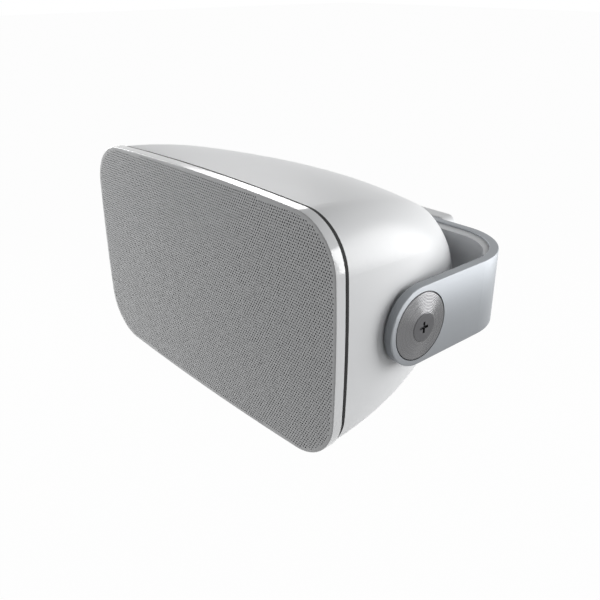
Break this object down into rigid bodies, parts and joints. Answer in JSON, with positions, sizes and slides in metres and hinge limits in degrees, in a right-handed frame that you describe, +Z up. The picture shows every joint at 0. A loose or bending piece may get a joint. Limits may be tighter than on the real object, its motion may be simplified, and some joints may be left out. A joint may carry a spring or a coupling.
{
  "type": "outdoor patio speaker",
  "caption": "Weatherproof loudspeaker in a tapering moulded cabinet that tilts between the arms of a U-shaped wall bracket behind a perforated metal grille.",
  "frame": {"origin": "middle of the wall plate's back face, on the wall", "axes": "+X along the cabinet, to the right as seen from in front; +Y into the wall; +Z up; the grille faces -Y"},
  "size_m": [0.2964, 0.195, 0.1686],
  "materials": {
    "cabinet_plastic": "satin white, weatherproof",
    "black_plastic": "fine black moulding",
    "rubber": "matt black",
    "screw_steel": "zinc plated",
    "grille_metal": "satin white powder coat",
    "black_cloth": "fine black acoustic cloth",
    "nickel": "nickel plated",
    "basket_metal": "black powder coat",
    "plate_steel": "zinc plated",
    "ferrite": "ground ferrite",
    "cone_plastic": "matt dark polypropylene",
    "spider_cloth": "resin-dipped cloth",
    "former_aluminium": "plain foil",
    "copper": "enamelled copper wire",
    "dome_metal": "anodised",
    "dome_cloth": "coated black cloth",
    "red_plastic": "gloss",
    "black_gloss_plastic": "gloss",
    "board_laminate": "green laminate",
    "ceramic": "white ceramic",
    "nylon": "natural nylon",
    "wadding": "loose polyester fibre",
    "lead_insulation": "flexible insulation",
    "brass": "turned",
    "turned_aluminium": "lathe turned, clear anodised",
    "bracket_aluminium": "satin silver paint",
    "lining_plastic": "satin grey",
    "plate_aluminium": "satin white paint"
  },
  "bodies": {
    "bracket": {"bracket_strap": "bracket_aluminium", "bracket_lining": "lining_plastic", "bracket_bolts": "screw_steel", "wall_plate": "plate_aluminium"},
    "grille": {"grille": "grille_metal", "grille_scrim": "black_cloth"},
    "woofer_cone": {"woofer_cone": "cone_plastic", "woofer_dust_cap": "cone_plastic", "woofer_coil_former": "former_aluminium", "woofer_voice_coil": "copper"},
    "tweeter_dome": {"tweeter_dome": "dome_metal", "tweeter_voice_coil": "copper"},
    "radiator": {"radiator_diaphragm": "cone_plastic", "radiator_weight": "screw_steel"},
    "red_nut": {"terminal_nut_red": "red_plastic"},
    "black_nut": {"terminal_nut_black": "black_gloss_plastic"},
    "cabinet": {"baffle_screws": "screw_steel", "board_spacers": "nylon", "cabinet_shell": "cabinet_plastic", "crossover_board": "board_laminate", "crossover_capacitors": "black_gloss_plastic", "crossover_resistor": "ceramic", "damping_wadding": "wadding", "front_baffle": "black_plastic", "front_gasket": "rubber", "grille_magnets": "nickel", "pivot_bolt_left": "turned_aluminium", "pivot_bolt_right": "turned_aluminium", "pivot_disc_left": "turned_aluminium", "pivot_disc_right": "turned_aluminium", "pivot_insert_left": "brass", "pivot_insert_right": "brass", "pivot_washer_left": "nylon", "pivot_washer_right": "nylon", "radiator_frame": "black_plastic", "radiator_screws": "screw_steel", "radiator_surround": "rubber", "terminal_cup": "black_plastic", "terminal_lock_nuts": "nickel", "terminal_post_black": "nickel", "terminal_post_red": "nickel", "terminal_screws": "screw_steel", "tweeter_faceplate": "black_plastic", "tweeter_inductor": "copper", "tweeter_lead": "lead_insulation", "tweeter_magnet": "ferrite", "tweeter_screws": "screw_steel", "tweeter_surround": "dome_cloth", "tweeter_top_plate": "plate_steel", "tweeter_yoke": "plate_steel", "woofer_basket": "basket_metal", "woofer_inductor": "copper", "woofer_lead": "lead_insulation", "woofer_magnet": "ferrite", "woofer_screws": "screw_steel", "woofer_spider": "spider_cloth", "woofer_surround": "rubber", "woofer_top_plate": "plate_steel", "woofer_yoke": "plate_steel"}
  },
  "joints": [
    {"name": "cabinet_tilt", "type": "hinge", "parent": "bracket", "child": "cabinet", "pos_m": [0, -0.1257, 0], "axis": [1, 0, 0], "range_deg": [-90, 90]},
    {"name": "grille_pull", "type": "slide", "parent": "cabinet", "child": "grille", "axis": [0, -1, 0], "range_m": [0, 0.04]},
    {"name": "woofer_cone_travel", "type": "slide", "parent": "cabinet", "child": "woofer_cone", "axis": [0, -1, 0], "range_m": [-0.0035, 0.0035], "stiffness_N_per_m": 1500, "deforming": ["woofer_surround", "woofer_spider"]},
    {"name": "tweeter_dome_travel", "type": "slide", "parent": "cabinet", "child": "tweeter_dome", "axis": [0, -1, 0], "range_m": [-0.0005, 0.0005], "stiffness_N_per_m": 1500, "deforming": ["tweeter_surround"]},
    {"name": "radiator_travel", "type": "slide", "parent": "cabinet", "child": "radiator", "axis": [0, 1, 0], "range_m": [-0.003, 0.003], "stiffness_N_per_m": 1200, "deforming": ["radiator_surround"]},
    {"name": "red_nut_turn", "type": "hinge", "parent": "cabinet", "child": "red_nut", "pos_m": [0.0375, -0.058, 0], "axis": [0, 1, 0], "range_deg": [0, 1080]},
    {"name": "black_nut_turn", "type": "hinge", "parent": "cabinet", "child": "black_nut", "pos_m": [0.0625, -0.058, 0], "axis": [0, 1, 0], "range_deg": [0, 1080]}
  ]
}
